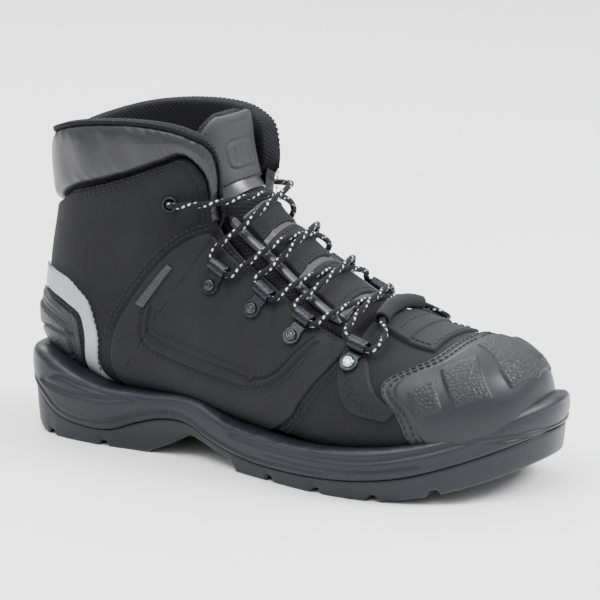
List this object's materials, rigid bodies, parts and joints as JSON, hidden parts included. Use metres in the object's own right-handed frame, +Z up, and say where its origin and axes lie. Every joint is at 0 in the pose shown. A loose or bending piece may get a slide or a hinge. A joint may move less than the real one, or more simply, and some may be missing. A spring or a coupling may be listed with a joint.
{
  "type": "steel toe work boot",
  "caption": "Ankle-high lace-up safety boot for the right foot, with a steel toe cap, rubber scuff cap, padded collar, lace loops and a lugged sole.",
  "frame": {"origin": "on the ground, under the middle of the boot's bounding box", "axes": "+X towards the toe, +Y the inner (medial) side, +Z up the shaft"},
  "size_m": [0.3104, 0.1236, 0.1815],
  "materials": {
    "outsole_rubber": "satin moulded rubber",
    "midsole_pu": "satin moulded polyurethane",
    "aramid": "woven aramid",
    "board": "pressed fibre board",
    "footbed_foam": "foam with a textile cover",
    "steel": "pressed steel",
    "edge_rubber": "matt",
    "mesh_lining": "knitted spacer mesh",
    "nubuck": "matt nubuck",
    "nubuck_overlay": "matt nubuck",
    "smooth_leather": "smooth semi-matt padded leather",
    "bumper_rubber": "satin moulded, leather-grain texture",
    "reflective": "retroreflective tape",
    "guard_rubber": "satin moulded",
    "tag": "moulded, plain",
    "hardware": "dark satin coating",
    "rivet_metal": "dark gunmetal",
    "lace_braid": "round braid, black with light flecks",
    "aglet": "shrunk plastic film"
  },
  "bodies": {
    "boot": {"outsole": "outsole_rubber", "midsole": "midsole_pu", "puncture_plate": "aramid", "insole_board": "board", "footbed": "footbed_foam", "steel_toe_cap": "steel", "toe_cap_edge_strip": "edge_rubber", "heel_stiffener": "board", "lining": "mesh_lining", "vamp": "nubuck", "quarter_lateral": "nubuck", "quarter_medial": "nubuck", "collar_pad_lateral": "smooth_leather", "collar_pad_medial": "smooth_leather", "side_panel_lateral": "nubuck_overlay", "side_panel_medial": "nubuck_overlay", "vamp_overlay_lateral": "nubuck_overlay", "vamp_overlay_medial": "nubuck_overlay", "scuff_cap": "bumper_rubber", "reflective_strip": "reflective", "heel_guard": "guard_rubber", "label_tag": "tag", "vamp_lace_keeper": "nubuck_overlay", "tongue_lower": "mesh_lining", "tongue_panel_upper": "nubuck_overlay", "tongue_panel_middle": "nubuck_overlay", "tongue_panel_lower": "nubuck_overlay", "gusset_lateral": "mesh_lining", "gusset_medial": "mesh_lining", "eyelet_lateral": "hardware", "eyelet_medial": "hardware", "lace": "lace_braid", "aglet_lateral": "aglet", "aglet_medial": "aglet", "lace_loop_lateral_1": "hardware", "loop_rivet_lateral_1": "rivet_metal", "lace_loop_lateral_2": "hardware", "loop_rivet_lateral_2": "rivet_metal", "lace_loop_lateral_3": "hardware", "loop_rivet_lateral_3": "rivet_metal", "lace_loop_lateral_4": "hardware", "loop_rivet_lateral_4": "rivet_metal", "lace_loop_medial_1": "hardware", "loop_rivet_medial_1": "rivet_metal", "lace_loop_medial_2": "hardware", "loop_rivet_medial_2": "rivet_metal", "lace_loop_medial_3": "hardware", "loop_rivet_medial_3": "rivet_metal", "lace_loop_medial_4": "hardware", "loop_rivet_medial_4": "rivet_metal"},
    "tongue_top": {"tongue_flap": "mesh_lining", "tongue_patch": "smooth_leather", "tongue_lip": "smooth_leather"}
  },
  "joints": [
    {"name": "tongue_fold", "type": "hinge", "parent": "boot", "child": "tongue_top", "pos_m": [-0.0205, 0, 0.143], "axis": [0, 1, 0], "range_deg": [0, 15]}
  ]
}
